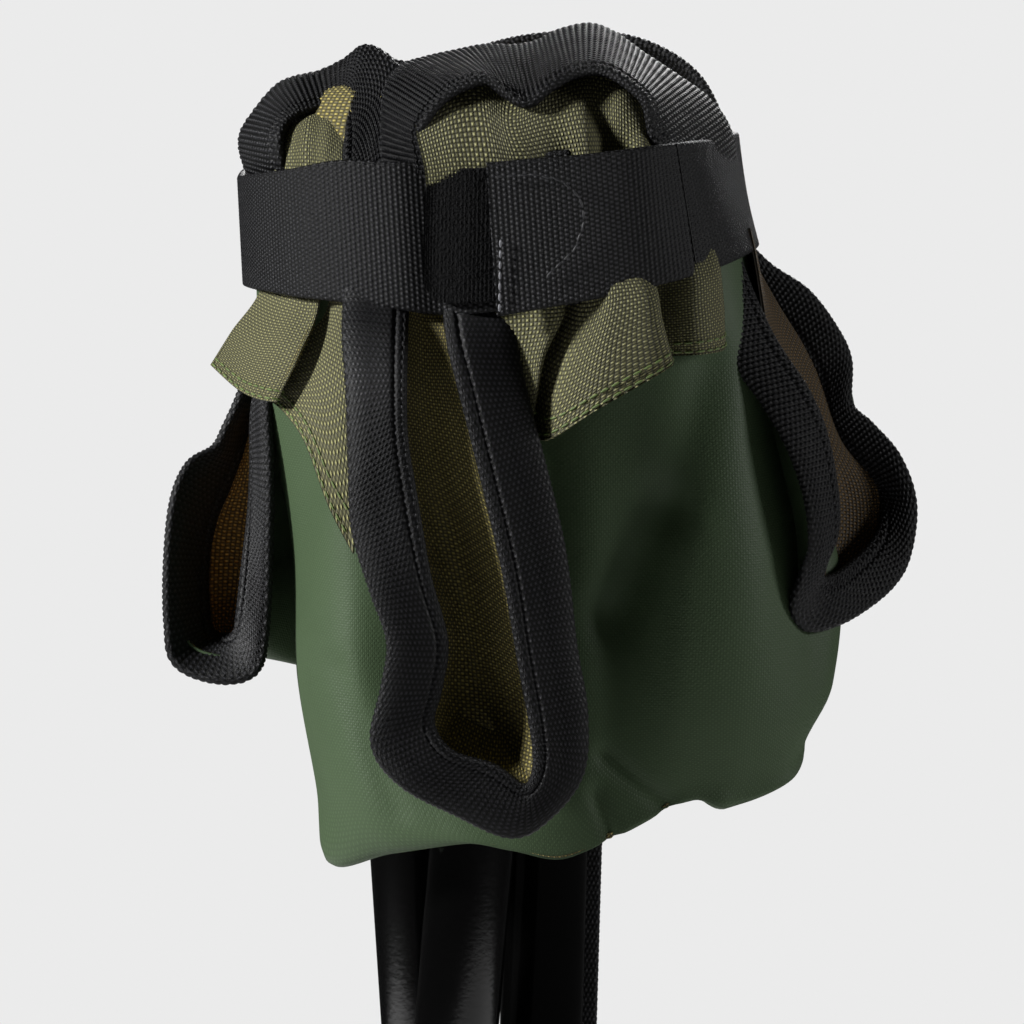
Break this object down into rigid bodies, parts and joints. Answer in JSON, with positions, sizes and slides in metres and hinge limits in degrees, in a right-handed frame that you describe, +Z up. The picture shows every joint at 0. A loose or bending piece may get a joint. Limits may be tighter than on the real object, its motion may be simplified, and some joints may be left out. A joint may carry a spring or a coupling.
{
  "type": "garden tool bag",
  "caption": "Folding tripod garden stool, folded and strapped shut: gathered cloth seat over crossed black tube legs, closed by a hook-and-loop webbing band.",
  "frame": {"origin": "bottom centre of the folded stool's box, on the floor under the feet", "axes": "+Z up the folded bundle from the feet to the gathered seat; -Y towards the side with the strap's free end; +X to that side's right"},
  "size_m": [0.166, 0.1208, 0.5987],
  "materials": {
    "tube_black": "gloss black powder coat",
    "plastic_black": "moulded, slightly rounded",
    "rubber_black": "matt moulded rubber",
    "steel_zinc": "bright zinc plate",
    "nylon_white": "natural nylon",
    "coated_cloth_green": "fine polyester weave, smooth dark green coating outside, olive weave inside",
    "woven_cloth_olive": "coarse olive polyester basket weave",
    "binding_tape_black": "ribbed woven binding tape, folded over the edge and sewn",
    "webbing_black": "ribbed polypropylene webbing",
    "hook_and_loop_black": "brushed loop and fine hooks"
  },
  "bodies": {
    "hub": {"three_way_stud": "steel_zinc", "inner_washers": "nylon_white", "outer_washers": "steel_zinc", "cap_nuts": "steel_zinc", "seat_cloth": "coated_cloth_green", "corner_pocket_a": "woven_cloth_olive", "corner_pocket_b": "woven_cloth_olive", "corner_pocket_c": "woven_cloth_olive", "corner_binding_a": "binding_tape_black", "corner_binding_b": "binding_tape_black", "corner_binding_c": "binding_tape_black", "edge_binding_ab": "binding_tape_black", "edge_binding_bc": "binding_tape_black", "edge_binding_ca": "binding_tape_black", "strap_band": "webbing_black", "loop_patch": "hook_and_loop_black"},
    "leg_a": {"leg_a_tube": "tube_black", "leg_a_tip_cap": "plastic_black", "leg_a_foot": "rubber_black"},
    "leg_b": {"leg_b_tube": "tube_black", "leg_b_tip_cap": "plastic_black", "leg_b_foot": "rubber_black"},
    "leg_c": {"leg_c_tube": "tube_black", "leg_c_tip_cap": "plastic_black", "leg_c_foot": "rubber_black", "carry_strap": "webbing_black", "carry_strap_loop": "webbing_black"},
    "strap_tab": {"strap_tab": "webbing_black", "hook_patch": "hook_and_loop_black"}
  },
  "joints": [
    {"name": "leg_a_fold", "type": "hinge", "parent": "hub", "child": "leg_a", "pos_m": [-0.01884, 0.01382, 0.29], "axis": [-0.3891, 0.9212, 0], "range_deg": [0, 4.5]},
    {"name": "leg_b_fold", "type": "hinge", "parent": "hub", "child": "leg_b", "pos_m": [-0.02205, -0.01196, 0.29], "axis": [-0.6032, -0.7976, 0], "range_deg": [0, 4.5]},
    {"name": "leg_c_fold", "type": "hinge", "parent": "hub", "child": "leg_c", "pos_m": [0.00188, -0.00185, 0.29], "axis": [0.9923, -0.1236, 0], "range_deg": [0, 4.5]},
    {"name": "strap_tab_peel", "type": "hinge", "parent": "hub", "child": "strap_tab", "pos_m": [0.02586, -0.04332, 0.55309], "axis": [-0.0872, 0, 0.9962], "range_deg": [0, 110]}
  ],
  "couplings": [
    {"joint": "leg_b_fold", "follows": "leg_a_fold", "ratio": 1},
    {"joint": "leg_c_fold", "follows": "leg_a_fold", "ratio": 1}
  ]
}
